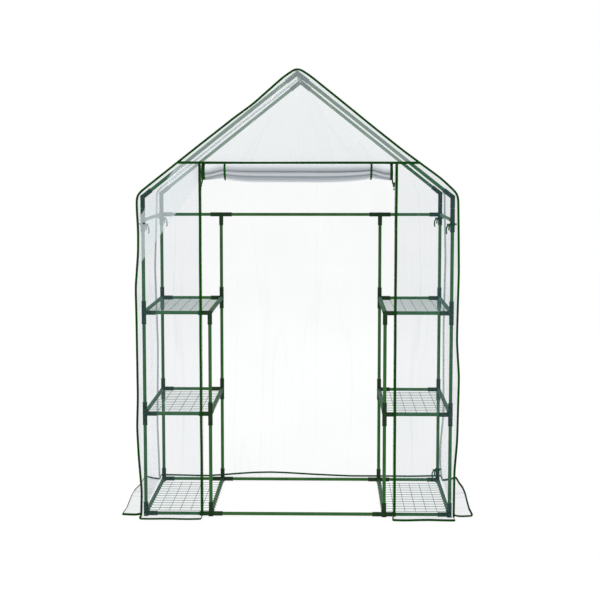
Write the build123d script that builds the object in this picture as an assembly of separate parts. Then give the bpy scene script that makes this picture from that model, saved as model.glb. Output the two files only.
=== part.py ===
from build123d import *
import math
import os

# Walk-in garden greenhouse, in millimetres.
# Origin: centre of the footprint on the ground. +X right, +Y to the back, +Z up.

# Driving dimensions -----------------------------------------------------------------------------
POST_X = 705.0  # corner posts, either side of the middle
INNER_X = 402.0  # inner posts, either side of the middle
POST_Y = 354.5  # front and back frames, either side of the middle
BASE_Z = 11.6  # base rails
SHELF_PITCH = 469.8  # from one shelf level to the next
EAVE_RAIL_Z = 1375.0
EAVE_Z = 1481.0  # where post and rafter meet
APEX_Z = 2038.0
TUBE_R = 8.0
TUBE_WALL = 0.6

ARM = 53.0  # connector arm, from its centre
EAVE_ARM = 50.0
APEX_ARM = 62.0
ARM_R = 10.5
LIP_R = 11.1
LIP = 4.0
HUB_R = 11.3
BORE_R = 8.1
CORE = 12.0  # solid part of a connector about its centre
INSERT = 14.0  # a tube stops this far from a connector's centre
PAD = 22.0  # square foot pad under a base connector
PAD_T = 3.0

WIRE_R = 1.25
WIRE_PITCH_Y = 47.0
WIRE_PITCH_X = 50.0
HOOK_GAP = 0.3
HOOK_LEG = 5.0
HOOK_BEND = 4.0  # where the hook turns into the flat of the shelf

FILM = 0.4
WALL_X = 726.0  # inner face of the side walls
FRONT_Y = 370.0  # inner face of the front and back film
ROOF_OFFSET = 12.5  # roof film above the rafters' axes
SKIRT_X = 820.0
SKIRT_Y = 445.0
SKIRT_Z = 0.2
BINDING = 10.0
BINDING_T = 1.6
TOP_Z = 2062.0  # the front and back tapes are cut level here, over the ridge

HEADER_Z = 1635.0
JAMB_X = 444.5
JAMB_W = 14.0
TAPE_T = 1.2
COIL_W = 3.5
COIL_T = 2.8

SLIDER_Z = 1528.0
SLIDER = (11.0, 9.0, 20.0)
SLIDER_GAP = 0.35
PULL = (7.0, 1.6, 30.0)
PIN_R = 1.0

ROLL_X = 422.0
ROLL_Y = -407.0
ROLL_TOP = HEADER_Z - 1.0
ROLL_RY = 27.5
ROLL_RZ = 41.5
ROLL_EDGE = 8.0
TIE_X = 335.0
TIE_W = 9.0
TIE_T = 0.8

SLOPE = math.atan2(APEX_Z - EAVE_Z, POST_X)
ROLL_Z = ROLL_TOP - ROLL_RZ
LEVELS = [BASE_Z + i * SHELF_PITCH for i in range(3)]
SIDES = {"left": -1, "right": 1}
ENDS = {"front": -1, "back": 1}

X, Y, Z = Vector(1, 0, 0), Vector(0, 1, 0), Vector(0, 0, 1)

os.makedirs("parts", exist_ok=True)


# Building blocks --------------------------------------------------------------------------------
def save(name, *solids):
    """Write one node as a STEP file."""
    shape = solids[0] if len(solids) == 1 else Compound(children=list(solids))
    export_step(shape, f"parts/{name}.step")


def rod(start, direction, length, radius):
    """A round bar from a point along a direction."""
    return Solid.make_cylinder(radius, length, Plane(origin=start, z_dir=direction))


def tube(a, b):
    """A steel tube between two connector centres, cut back to sit in their sockets."""
    a, b = Vector(*a), Vector(*b)
    way = (b - a).normalized()
    start = a + way * INSERT
    length = (b - a).length - 2 * INSERT
    outer = rod(start, way, length, TUBE_R)
    return outer - rod(start, way, length, TUBE_R - TUBE_WALL)


def connector(centre, ways, arm=ARM, pad=False):
    """A moulded joint with one open socket along each direction."""
    centre = Vector(*centre)
    body = Pos(*centre) * Solid.make_sphere(HUB_R, angle1=-90)
    for way in ways:
        body = body + rod(centre, way, arm, ARM_R)
        body = body + rod(centre + way * (arm - LIP), way, LIP, LIP_R)
    if pad:
        half = PAD / 2
        body = body + block((centre.X - half, centre.Y - half, 0), (centre.X + half, centre.Y + half, PAD_T))
    for way in ways:
        body = body - rod(centre + way * CORE, way, arm, BORE_R)
    return body


def block(low, high):
    """A box from its lowest to its highest corner."""
    size = [b - a for a, b in zip(low, high)]
    return Solid.make_box(*size).moved(Location(low))


def plate_y(points, y, thickness):
    """A flat outline in X and Z, thickened along +Y from y."""
    outline = Polyline(*[(px, y, pz) for px, pz in points], close=True)
    return extrude(make_face(outline), amount=thickness, dir=(0, 1, 0))


def slope_way(side):
    """The direction from an eave up its rafter."""
    return Vector(-side * math.cos(SLOPE), 0, math.sin(SLOPE))


def roof_z(x, offset):
    """Height of a roof plane that lies offset outside the rafters' axes."""
    return APEX_Z - abs(x) * math.tan(SLOPE) + offset / math.cos(SLOPE)


# Tubes ------------------------------------------------------------------------------------------
def make_tubes():
    y = POST_Y
    levels = LEVELS
    save("base_middle_rails", *[tube((-INNER_X, e * y, BASE_Z), (INNER_X, e * y, BASE_Z)) for e in (-1, 1)])
    for end, e in ENDS.items():
        for side, s in SIDES.items():
            rails = [tube((s * INNER_X, e * y, z), (s * POST_X, e * y, z)) for z in levels]
            save(f"shelf_rails_{end}_{side}", *rails)
            corner = levels + [EAVE_RAIL_Z, EAVE_Z]
            posts = [tube((s * POST_X, e * y, a), (s * POST_X, e * y, b)) for a, b in zip(corner, corner[1:])]
            save(f"corner_post_{end}_{side}", *posts)
        heights = levels if end == "front" else levels + [EAVE_RAIL_Z]
        inner = [
            tube((s * INNER_X, e * y, a), (s * INNER_X, e * y, b))
            for s in (-1, 1)
            for a, b in zip(heights, heights[1:])
        ]
        save(f"inner_posts_{end}", *inner)
    for side, s in SIDES.items():
        rails = [tube((s * x, -y, z), (s * x, y, z)) for x in (POST_X, INNER_X) for z in levels]
        save(f"side_rails_{side}", *rails)
        save(f"eave_side_rail_{side}", tube((s * POST_X, -y, EAVE_RAIL_Z), (s * POST_X, y, EAVE_RAIL_Z)))
        rafters = [tube((s * POST_X, e * y, EAVE_Z), (0, e * y, APEX_Z)) for e in (-1, 1)]
        save(f"rafters_{side}", *rafters)
    stops = (-POST_X, -INNER_X, INNER_X, POST_X)
    cross = [tube((a, y, EAVE_RAIL_Z), (b, y, EAVE_RAIL_Z)) for a, b in zip(stops, stops[1:])]
    save("back_cross_rail", *cross)
    save("ridge_pole", tube((0, -y, APEX_Z), (0, y, APEX_Z)))


# Connectors -------------------------------------------------------------------------------------
def make_connectors():
    corners = [(s, e) for s in (-1, 1) for e in (-1, 1)]
    base_corners, base_tees, shelf_corners, shelf_inner = [], [], [], []
    eave_rails, cross_tees, elbows = [], [], []
    for s, e in corners:
        outer = (s * POST_X, e * POST_Y)
        inner = (s * INNER_X, e * POST_Y)
        base_corners.append(connector((*outer, BASE_Z), (-s * X, -e * Y, Z), pad=True))
        base_tees.append(connector((*inner, BASE_Z), (s * X, -s * X, -e * Y, Z), pad=True))
        for z in LEVELS[1:]:
            shelf_corners.append(connector((*outer, z), (-s * X, -e * Y, Z, -Z)))
            top = e < 0 and z == LEVELS[-1]
            ways = (s * X, -e * Y, -Z) if top else (s * X, -e * Y, Z, -Z)
            shelf_inner.append(connector((*inner, z), ways))
        ways = (-e * Y, Z, -Z) if e < 0 else (-s * X, -e * Y, Z, -Z)
        eave_rails.append(connector((*outer, EAVE_RAIL_Z), ways))
        if e > 0:
            cross_tees.append(connector((*inner, EAVE_RAIL_Z), (X, -X, -Z)))
        elbows.append(connector((*outer, EAVE_Z), (-Z, slope_way(s)), arm=EAVE_ARM))
    apexes = [
        connector((0, e * POST_Y, APEX_Z), (-slope_way(1), -slope_way(-1), -e * Y), arm=APEX_ARM)
        for e in (-1, 1)
    ]
    save("base_corner_connectors", *base_corners)
    save("base_tee_connectors", *base_tees)
    save("shelf_corner_connectors", *shelf_corners)
    save("shelf_inner_connectors", *shelf_inner)
    save("eave_rail_connectors", *eave_rails)
    save("cross_rail_tees", *cross_tees)
    save("eave_elbows", *elbows)
    save("apex_connectors", *apexes)


# Wire shelves -----------------------------------------------------------------------------------
def hooked_wire():
    """One cross wire, hooked over the rails at both ends, about the middle of the rails."""
    half = (POST_X - INNER_X) / 2
    turn = TUBE_R + HOOK_GAP + WIRE_R
    near, far = half - turn, half + turn
    flat = near - HOOK_BEND
    middle = near - HOOK_BEND * (1 - math.cos(math.pi / 4))
    drop = HOOK_BEND * math.sin(math.pi / 4)
    path = Wire(
        [
            Line((-far, 0, -HOOK_LEG), (-far, 0, 0)),
            ThreePointArc((-far, 0, 0), (-half, 0, turn), (-near, 0, 0)),
            ThreePointArc((-near, 0, 0), (-middle, 0, -drop), (-flat, 0, -HOOK_BEND)),
            Line((-flat, 0, -HOOK_BEND), (flat, 0, -HOOK_BEND)),
            ThreePointArc((flat, 0, -HOOK_BEND), (middle, 0, -drop), (near, 0, 0)),
            ThreePointArc((near, 0, 0), (half, 0, turn), (far, 0, 0)),
            Line((far, 0, 0), (far, 0, -HOOK_LEG)),
        ]
    )
    start = Plane(origin=path @ 0, z_dir=path % 0)
    return sweep(start * Circle(WIRE_R), path=path)


def shelf_grid():
    """A welded wire shelf about the middle of its rails."""
    wire = hooked_wire()
    grid = None
    for i in range(-6, 7):
        piece = Pos(0, i * WIRE_PITCH_Y, 0) * wire
        grid = piece if grid is None else grid + piece
    length = 12 * WIRE_PITCH_Y + 6 * WIRE_R
    weld_z = -HOOK_BEND + 1.8 * WIRE_R
    for i in range(-2, 3):
        grid = grid + rod(Vector(i * WIRE_PITCH_X, -length / 2, weld_z), Y, length, WIRE_R)
    return grid


def make_shelves():
    grid = shelf_grid()
    middle = (POST_X + INNER_X) / 2
    for side, s in SIDES.items():
        for name, z in zip(("ground", "lower", "upper"), LEVELS):
            save(f"{name}_shelf_{side}", Pos(s * middle, 0, z) * grid)


# Film cover -------------------------------------------------------------------------------------
def film_top(x):
    return roof_z(x, ROOF_OFFSET)


def make_film():
    wall_bottom = SKIRT_Z + FILM
    eave = film_top(WALL_X)
    depth = FRONT_Y - 0.1
    for side, s in SIDES.items():
        low = (min(s * WALL_X, s * (WALL_X + FILM)), -depth, wall_bottom)
        high = (max(s * WALL_X, s * (WALL_X + FILM)), depth, eave - 1)
        save(f"film_wall_{side}", block(low, high))
        slope = [
            (0, film_top(0)),
            (s * WALL_X, eave),
            (s * WALL_X, eave + FILM / math.cos(SLOPE)),
            (0, film_top(0) + FILM / math.cos(SLOPE)),
        ]
        save(f"film_roof_{side}", plate_y(slope, -depth, 2 * depth))
        panel = [(JAMB_X, wall_bottom), (WALL_X, wall_bottom), (WALL_X, eave - 1)]
        cut_x = (film_top(0) - HEADER_Z) / math.tan(SLOPE) - 1
        panel += [(cut_x, HEADER_Z), (JAMB_X, HEADER_Z)]
        save(f"film_front_{side}", plate_y([(s * px, pz) for px, pz in panel], -FRONT_Y - FILM, FILM))
        skirt_low = (min(s * WALL_X, s * SKIRT_X), -FRONT_Y + 10, SKIRT_Z)
        skirt_high = (max(s * WALL_X, s * SKIRT_X), FRONT_Y + 40, wall_bottom)
        save(f"side_skirt_{side}", block(skirt_low, skirt_high))
    gable = [(-cut_x, HEADER_Z), (cut_x, HEADER_Z), (0, film_top(0) - 1)]
    save("film_gable_front", plate_y(gable, -FRONT_Y - FILM, FILM))
    back = [(-WALL_X, wall_bottom), (WALL_X, wall_bottom), (WALL_X, eave - 1), (0, film_top(0) - 1)]
    back += [(-WALL_X, eave - 1)]
    save("film_wall_back", plate_y(back, FRONT_Y, FILM))
    front_skirts = [
        block(
            (min(s * JAMB_X, s * (WALL_X - 1)), -SKIRT_Y + BINDING, SKIRT_Z),
            (max(s * JAMB_X, s * (WALL_X - 1)), -FRONT_Y, wall_bottom),
        )
        for s in (-1, 1)
    ]
    save("front_skirts", *front_skirts)
    save("back_skirt", block((-WALL_X + 1, FRONT_Y, SKIRT_Z), (WALL_X - 1, SKIRT_Y - BINDING, wall_bottom)))


# Bindings ---------------------------------------------------------------------------------------
def seam_ring(y):
    """The tape that stands round one end of the cover, from ground to ground."""
    inner_x = WALL_X + FILM
    outer_x = inner_x + BINDING
    inner_off = ROOF_OFFSET + FILM + 0.1
    outer_off = inner_off + BINDING
    bottom = SKIRT_Z + 1
    cut_x = (roof_z(0, outer_off) - TOP_Z) / math.tan(SLOPE)
    right = [
        (cut_x, TOP_Z),
        (outer_x, roof_z(outer_x, outer_off)),
        (outer_x, bottom),
        (inner_x, bottom),
        (inner_x, roof_z(inner_x, inner_off)),
    ]
    left = [(-px, pz) for px, pz in reversed(right)]
    outline = right + [(0, roof_z(0, inner_off))] + left
    return plate_y(outline, y, BINDING_T)


def make_bindings():
    save("seam_binding_front", seam_ring(-FRONT_Y - FILM - BINDING_T))
    save("seam_binding_back", seam_ring(FRONT_Y + FILM))
    face = -FRONT_Y - FILM
    span = (film_top(0) - HEADER_Z) / math.tan(SLOPE) - 16
    save("header_binding", block((-span, face - TAPE_T, HEADER_Z), (span, face, HEADER_Z + BINDING)))
    tapes = []
    for s in (-1, 1):
        near = JAMB_X - JAMB_W / 2
        far = JAMB_X + JAMB_W / 2
        tape = block(
            (min(s * near, s * far), face - TAPE_T, 4),
            (max(s * near, s * far), face, HEADER_Z),
        )
        middle = face - TAPE_T / 2
        coil = block(
            (min(s * (near - COIL_W), s * near), middle - COIL_T / 2, 4),
            (max(s * (near - COIL_W), s * near), middle + COIL_T / 2, HEADER_Z - 6),
        )
        tapes.append(tape + coil)
    save("zip_tapes", *tapes)
    strips = []
    top = SKIRT_Z + FILM + 0.4
    for s in (-1, 1):
        edge = (SKIRT_X - BINDING, SKIRT_X)
        low_x, high_x = sorted(s * v for v in edge)
        strips.append(block((low_x, -FRONT_Y + 10, SKIRT_Z + FILM), (high_x, FRONT_Y + 40, top)))
        low_x, high_x = sorted(s * v for v in (JAMB_X, WALL_X - 1))
        strips.append(block((low_x, -SKIRT_Y, SKIRT_Z), (high_x, -SKIRT_Y + BINDING, top)))
    strips.append(block((-WALL_X + 1, SKIRT_Y - BINDING, SKIRT_Z), (WALL_X - 1, SKIRT_Y, top)))
    save("skirt_bindings", *strips)


# Zips -------------------------------------------------------------------------------------------
def make_zips():
    """A slider that straddles each tape's coil, with a pull hinged on its front."""
    width, depth, height = SLIDER
    face = -FRONT_Y - FILM - TAPE_T / 2
    coil_x = JAMB_X - JAMB_W / 2
    for side, s in SIDES.items():
        near = coil_x - COIL_W - 2.0
        body = block(
            (min(s * near, s * (near + width)), face - depth / 2, SLIDER_Z),
            (max(s * near, s * (near + width)), face + depth / 2 - 1.6, SLIDER_Z + height),
        )
        coil_cut = block(
            (min(s * (coil_x - COIL_W - SLIDER_GAP), s * (coil_x + SLIDER_GAP)),
             face - COIL_T / 2 - SLIDER_GAP, SLIDER_Z - 1),
            (max(s * (coil_x - COIL_W - SLIDER_GAP), s * (coil_x + SLIDER_GAP)),
             face + COIL_T / 2 + SLIDER_GAP, SLIDER_Z + height + 1),
        )
        tape_cut = block(
            (min(s * coil_x, s * (coil_x + width)), face - TAPE_T / 2 - SLIDER_GAP, SLIDER_Z - 1),
            (max(s * coil_x, s * (coil_x + width)), face + TAPE_T / 2 + SLIDER_GAP, SLIDER_Z + height + 1),
        )
        hinge_y = face - depth / 2 - 2.2
        hinge_z = SLIDER_Z + height - 5
        centre = s * (near + width / 2)
        slider = body - coil_cut - tape_cut
        for ear in (-1, 1):
            middle = centre + ear * (PULL[0] / 2 + 1.1)
            slider = slider + block(
                (middle - 0.8, hinge_y - 1.6, hinge_z - 2.2), (middle + 0.8, face - depth / 2, hinge_z + 2.2)
            )
        pin_half = PULL[0] / 2 + 1.9
        slider = slider + rod(Vector(centre - pin_half, hinge_y, hinge_z), X, 2 * pin_half, PIN_R)
        save(f"zip_slider_{side}", slider)
        pull_w, pull_t, pull_l = PULL
        eye = rod(Vector(centre - pull_w / 2, hinge_y, hinge_z), X, pull_w, PIN_R + 1.0)
        tab = block(
            (centre - pull_w / 2, hinge_y - pull_t / 2, hinge_z - pull_l),
            (centre + pull_w / 2, hinge_y + pull_t / 2, hinge_z),
        )
        pull = eye + tab - rod(Vector(centre - pull_w, hinge_y, hinge_z), X, 2 * pull_w, PIN_R + 0.08)
        slot = block(
            (centre - pull_w / 4, hinge_y - pull_t, hinge_z - pull_l * 0.8),
            (centre + pull_w / 4, hinge_y + pull_t, hinge_z - pull_l * 0.45),
        )
        save(f"zip_pull_{side}", pull - slot)


# Door -------------------------------------------------------------------------------------------
def ellipse_bar(x0, x1, ry, rz):
    """A bar of elliptical section along X, on the roll's axis."""
    plane = Plane(origin=(x0, ROLL_Y, ROLL_Z), x_dir=(0, 1, 0), z_dir=(1, 0, 0))
    return extrude(plane * Ellipse(ry, rz), amount=x1 - x0)


def make_door():
    save("door_roll", ellipse_bar(-ROLL_X, ROLL_X, ROLL_RY, ROLL_RZ))
    ends = [
        ellipse_bar(-ROLL_X - ROLL_EDGE, -ROLL_X, ROLL_RY, ROLL_RZ),
        ellipse_bar(ROLL_X, ROLL_X + ROLL_EDGE, ROLL_RY, ROLL_RZ),
    ]
    save("door_edge_bindings", *ends)
    sheet_y = -FRONT_Y - FILM - TAPE_T - 1.2
    save("door_sheet", block((-ROLL_X, sheet_y, ROLL_Z), (ROLL_X, sheet_y + FILM, HEADER_Z - 1)))
    ties = []
    gap = 0.4
    for s in (-1, 1):
        low, high = s * TIE_X - TIE_W / 2, s * TIE_X + TIE_W / 2
        outer = ellipse_bar(low, high, ROLL_RY + gap + TIE_T, ROLL_RZ + gap + TIE_T)
        inner = ellipse_bar(low, high, ROLL_RY + gap, ROLL_RZ + gap)
        ring = outer - inner
        lug_y = -FRONT_Y - FILM - TAPE_T
        ring = ring - block((low - 1, ROLL_Y - 60, HEADER_Z), (high + 1, ROLL_Y + 60, HEADER_Z + 20))
        lug = block((low, ROLL_Y, HEADER_Z - 0.5), (high, lug_y, HEADER_Z - 0.5 + TIE_T))
        ties.append(ring + lug)
    save("door_ties", *ties)


# Ribbons that hold the cover to the corner posts -------------------------------------------------
def make_frame_ties():
    gap = 0.8
    height = 9.0
    low = EAVE_RAIL_Z - 23.0
    ties = []
    for s in (-1, 1):
        for e in (-1, 1):
            centre = Vector(s * POST_X, e * POST_Y, low)
            ring = rod(centre, Z, height, ARM_R + gap + 1.0) - rod(centre, Z, height, ARM_R + gap)
            near, far = sorted((e * (POST_Y + ARM_R), e * (FRONT_Y - 0.3)))
            knot = block((s * POST_X - 5, near, low - 1), (s * POST_X + 5, far, low + height + 1))
            tail_x = s * POST_X - s * 3
            tail = block(
                (min(tail_x, tail_x - s * 8), (near + far) / 2, low - 36),
                (max(tail_x, tail_x - s * 8), (near + far) / 2 + 1, low + 3),
            )
            bore = rod(centre - Z * 2, Z, height + 4, ARM_R + gap)
            ties.append(ring + (knot - bore) + tail)
    save("frame_ties", *ties)


make_tubes()
make_connectors()
make_shelves()
make_film()
make_bindings()
make_zips()
make_door()
make_frame_ties()
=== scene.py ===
"""Looks of a walk-in garden greenhouse: tube frame, wire shelves and a clear cover with a rolled door."""
import logging
import math
from dataclasses import dataclass, field
from enum import Enum

import bmesh
import bpy
import numpy as np
from mathutils import Matrix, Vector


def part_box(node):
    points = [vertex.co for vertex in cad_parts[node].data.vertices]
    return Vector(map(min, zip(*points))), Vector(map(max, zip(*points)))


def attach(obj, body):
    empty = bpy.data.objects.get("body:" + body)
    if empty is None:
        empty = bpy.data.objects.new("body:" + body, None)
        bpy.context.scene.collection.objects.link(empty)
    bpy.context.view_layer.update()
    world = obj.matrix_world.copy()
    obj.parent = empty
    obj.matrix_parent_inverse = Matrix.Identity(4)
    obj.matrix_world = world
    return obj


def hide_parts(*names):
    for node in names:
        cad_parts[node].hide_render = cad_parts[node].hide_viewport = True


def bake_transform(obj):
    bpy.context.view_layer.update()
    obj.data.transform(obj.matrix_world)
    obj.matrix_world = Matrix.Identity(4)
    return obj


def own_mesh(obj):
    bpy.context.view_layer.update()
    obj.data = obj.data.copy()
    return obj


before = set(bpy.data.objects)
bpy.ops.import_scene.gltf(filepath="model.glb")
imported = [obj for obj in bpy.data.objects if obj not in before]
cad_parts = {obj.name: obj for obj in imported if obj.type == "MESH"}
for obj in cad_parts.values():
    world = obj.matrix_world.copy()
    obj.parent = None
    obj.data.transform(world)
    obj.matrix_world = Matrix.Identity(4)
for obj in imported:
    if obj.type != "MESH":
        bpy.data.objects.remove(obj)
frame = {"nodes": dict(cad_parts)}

Array = np.ndarray
Socket = bpy.types.NodeSocket
LOG = logging.getLogger("greenhouse")

ROOT = "frame_and_cover"
ROLL_BODY = "door_roll_body"
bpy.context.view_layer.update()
ZIP_TAPE_HALF = 0.007


class Side(Enum):
    """Left or right of the door, as a sign along X."""

    LEFT = -1
    RIGHT = 1

    @property
    def word(self) -> str:
        """The side's name as it stands in node names."""
        return self.name.lower()


class End(Enum):
    """Front or back of the greenhouse, as a sign along Y."""

    FRONT = -1
    BACK = 1

    @property
    def word(self) -> str:
        """The end's name as it stands in node names."""
        return self.name.lower()


# Sizes ------------------------------------------------------------------------------------------


def low_high(node: str) -> tuple[Array, Array]:
    """Lowest and highest corner of a CAD node.

    Args:
        node: the node's name.
    Returns:
        Two points, in metres.
    """
    low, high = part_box(node)
    return np.array(low), np.array(high)


def middle(node: str) -> Array:
    """Centre of a CAD node's box."""
    low, high = low_high(node)
    return (low + high) / 2


@dataclass(frozen=True)
class Sizes:
    """Places of the frame that the soft pieces hang on, in metres."""

    post_x: float
    post_y: float
    wall_x: float
    front_y: float
    header_z: float
    apex_z: float
    jamb_x: float
    skirt_y: float
    eave_rail_z: float
    roll_low: tuple[float, float, float]
    roll_high: tuple[float, float, float]

    @classmethod
    def from_frame(cls) -> "Sizes":
        """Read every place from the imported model."""
        post = middle("corner_post_front_right")
        wall_high = low_high("film_wall_right")[1]
        tape_high = low_high("zip_tapes")[1]
        roll_low, roll_high = low_high("door_roll")
        return cls(
            post_x=float(post[0]),
            post_y=float(-post[1]),
            wall_x=float(wall_high[0]),
            front_y=float(-low_high("film_gable_front")[0][1]),
            header_z=float(low_high("header_binding")[0][2]),
            apex_z=float(middle("ridge_pole")[2]),
            jamb_x=float(tape_high[0] - ZIP_TAPE_HALF),
            skirt_y=float(low_high("skirt_bindings")[1][1]),
            eave_rail_z=float(middle("eave_side_rail_right")[2]),
            roll_low=tuple(map(float, roll_low)),
            roll_high=tuple(map(float, roll_high)),
        )


# Meshes -----------------------------------------------------------------------------------------


def new_piece(
    name: str, points: Array, faces: list[list[int]], uv: Array, finish: "Finish"
) -> bpy.types.Object:
    """Put points and faces into a mesh object of its own.

    Args:
        name: the piece's name.
        points: vertices, as rows of X, Y, Z.
        faces: vertex numbers of each face.
        uv: one row of U, V for each face corner, in metres along and across the piece.
        finish: the finish it gets.
    Returns:
        The new object, at the origin.
    """
    mesh = bpy.data.meshes.new(name)
    mesh.from_pydata(points.reshape(-1, 3).tolist(), [], faces)
    layer = mesh.uv_layers.new(name="UVMap")
    layer.data.foreach_set("uv", uv.astype(np.float32).ravel())
    mesh.polygons.foreach_set("use_smooth", np.ones(len(faces), bool))
    mesh.validate()
    piece = bpy.data.objects.new(name, mesh)
    bpy.context.scene.collection.objects.link(piece)
    mesh.materials.append(finish.material())
    return piece


def patch(points: Array, wrap: bool = False, caps: bool = False, offset: int = 0) -> tuple[list, Array]:
    """Faces of a grid of points, with U and V measured along it.

    Args:
        points: grid of shape (rows, columns, 3).
        wrap: whether the columns close into a ring.
        caps: whether the first and last row get a face of their own.
        offset: number of the first vertex.
    Returns:
        The faces and a row of U, V for each face corner. U is the mean length along the rows up to
        each row, V the mean length across the columns up to each column.
    """
    rows, cols = points.shape[:2]
    ring = np.concatenate([points, points[:, :1]], axis=1) if wrap else points
    along = np.linalg.norm(np.diff(ring, axis=0), axis=2).mean(axis=1)
    across = np.linalg.norm(np.diff(ring, axis=1), axis=2).mean(axis=0)
    u = np.concatenate([[0.0], np.cumsum(along)])
    v = np.concatenate([[0.0], np.cumsum(across)])
    i, j = np.meshgrid(np.arange(rows - 1), np.arange(len(v) - 1), indexing="ij")
    i, j = i.ravel(), j.ravel()
    corner_i = np.stack([i, i + 1, i + 1, i], axis=1)
    corner_j = np.stack([j, j, j + 1, j + 1], axis=1)
    faces = (corner_i * cols + corner_j % cols + offset).tolist()
    uv = np.stack([u[corner_i], v[corner_j]], axis=2).reshape(-1, 2)
    if caps:
        faces.append([offset + k for k in range(cols)])
        faces.append([offset + (rows - 1) * cols + k for k in range(cols)][::-1])
        uv = np.concatenate([uv, np.zeros((2 * cols, 2))])
    return faces, uv


def grid_piece(
    name: str, points: Array, finish: "Finish", wrap: bool = False, caps: bool = False
) -> bpy.types.Object:
    """A piece made of one grid of points.

    Args:
        name: the piece's name.
        points: grid of shape (rows, columns, 3).
        finish: the finish it gets.
        wrap: whether the columns close into a ring.
        caps: whether both ends are closed.
    Returns:
        The new object.
    """
    faces, uv = patch(points, wrap, caps)
    piece = new_piece(name, points, faces, uv, finish)
    if caps:
        face_outwards(piece)
    return piece


def joined_piece(name: str, grids: list[Array], finish: "Finish", closed: bool = True) -> bpy.types.Object:
    """Several separate tubes or tapes as one piece.

    Args:
        name: the piece's name.
        grids: a grid of points for each, of shape (rows, columns, 3).
        finish: the finish it gets.
        closed: whether each is a closed ring in section with closed ends.
    Returns:
        The new object.
    """
    faces, uvs, start = [], [], 0
    for points in grids:
        part_faces, part_uv = patch(points, closed, closed, start)
        faces += part_faces
        uvs.append(part_uv)
        start += points.shape[0] * points.shape[1]
    verts = np.concatenate([g.reshape(-1, 3) for g in grids])
    piece = new_piece(name, verts, faces, np.concatenate(uvs), finish)
    if closed:
        face_outwards(piece)
    return piece


def face_outwards(piece: bpy.types.Object) -> None:
    """Turn every face of a closed piece outwards."""
    work = bmesh.new()
    work.from_mesh(piece.data)
    bmesh.ops.recalc_face_normals(work, faces=work.faces)
    work.to_mesh(piece.data)
    work.free()


def unit(vectors: Array) -> Array:
    """Vectors scaled to length one."""
    return vectors / np.maximum(np.linalg.norm(vectors, axis=-1, keepdims=True), 1e-12)


def soften(points: Array, width: float, spacing: float = 0.004) -> Array:
    """A line through corner points, sampled evenly and rounded.

    Each point becomes the mean of its neighbours, weighted by a bell curve of the given width along
    the line. The ends stay where they are, because the line is carried on past them, mirrored.

    Args:
        points: corner points, one a row.
        width: the bell curve's width, in metres.
        spacing: distance between samples, in metres.
    Returns:
        The sampled line.
    """
    steps = np.linalg.norm(np.diff(points, axis=0), axis=1)
    reach = np.concatenate([[0.0], np.cumsum(steps)])
    count = max(4, int(reach[-1] / spacing))
    at = np.linspace(0.0, reach[-1], count + 1)
    line = np.stack([np.interp(at, reach, c) for c in points.T], axis=1)
    half = max(1, int(3 * width / (reach[-1] / count)))
    half = min(half, count - 1)
    bell = np.exp(-0.5 * (np.arange(-half, half + 1) * (reach[-1] / count) / width) ** 2)
    bell /= bell.sum()
    before = 2 * line[0] - line[half:0:-1]
    after = 2 * line[-1] - line[-2 : -half - 2 : -1]
    padded = np.concatenate([before, line, after])
    return np.stack([np.convolve(c, bell, mode="valid") for c in padded.T], axis=1)


def resample(line: Array, count: int) -> Array:
    """A line with a given number of evenly spaced points."""
    steps = np.linalg.norm(np.diff(line, axis=0), axis=1)
    reach = np.concatenate([[0.0], np.cumsum(steps)])
    at = np.linspace(0.0, reach[-1], count)
    return np.stack([np.interp(at, reach, c) for c in line.T], axis=1)


def carry(path: Array, section: Array, side: Array) -> Array:
    """A section carried along a path.

    Each point is the path's point, plus the section's first number along the side direction, plus
    its second number along the normal, which is square to the path and the side.

    Args:
        path: points of the path, one a row.
        section: points of the section, as rows of across and out.
        side: the side direction, one for all points or one a row.
    Returns:
        A grid of shape (path points, section points, 3).
    """
    tangent = unit(np.gradient(path, axis=0))
    side = np.broadcast_to(np.asarray(side, float), path.shape)
    side = unit(side - (side * tangent).sum(axis=1, keepdims=True) * tangent)
    normal = np.cross(tangent, side)
    return path[:, None] + section[None, :, :1] * side[:, None] + section[None, :, 1:] * normal[:, None]


def tape_section(width: float, thick: float, count: int = 5) -> Array:
    """Outline of a flat tape with rounded edges, a touch thicker at its folded edge.

    Args:
        width: the tape's width.
        thick: its thickness.
        count: points along each rounded edge.
    Returns:
        Rows of across and out.
    """
    turn = np.linspace(-math.pi / 2, math.pi / 2, count)
    right = np.stack([width / 2 - thick / 2 + thick / 2 * np.cos(turn), 0.6 * thick * np.sin(turn)], axis=1)
    left = np.stack([-width / 2 + thick / 2 - thick / 2 * np.cos(turn), -0.5 * thick * np.sin(turn)], axis=1)
    return np.concatenate([right, left])


def round_section(radius: float, count: int = 8) -> Array:
    """Outline of a round bar."""
    turn = np.linspace(0.0, 2 * math.pi, count, endpoint=False)
    return radius * np.stack([np.cos(turn), np.sin(turn)], axis=1)


def waves(a: Array, b: Array, phase: float, lengths: tuple[float, ...] = (0.41, 0.23, 0.13, 0.071)) -> Array:
    """Soft creases of hanging film: a sum of slanting sine waves, each shorter one weaker.

    Args:
        a: place along the first direction, in metres.
        b: place along the second direction, in metres.
        phase: where the waves start, so that panels differ.
        lengths: the wavelengths.
    Returns:
        Heights from about -1 to 1.
    """
    total = np.zeros(np.broadcast(a, b).shape)
    for k, length in enumerate(lengths):
        slant = 0.35 * math.sin(1.7 * k + 2.3 * phase)
        turn = 2 * math.pi * (a + slant * b) / length + 4.1 * phase + 1.3 * k
        total = total + np.sin(turn + 0.8 * np.sin(2.1 * b / length * slant + k)) * 0.6**k
    return total / 2.0


# Finishes ---------------------------------------------------------------------------------------


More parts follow.
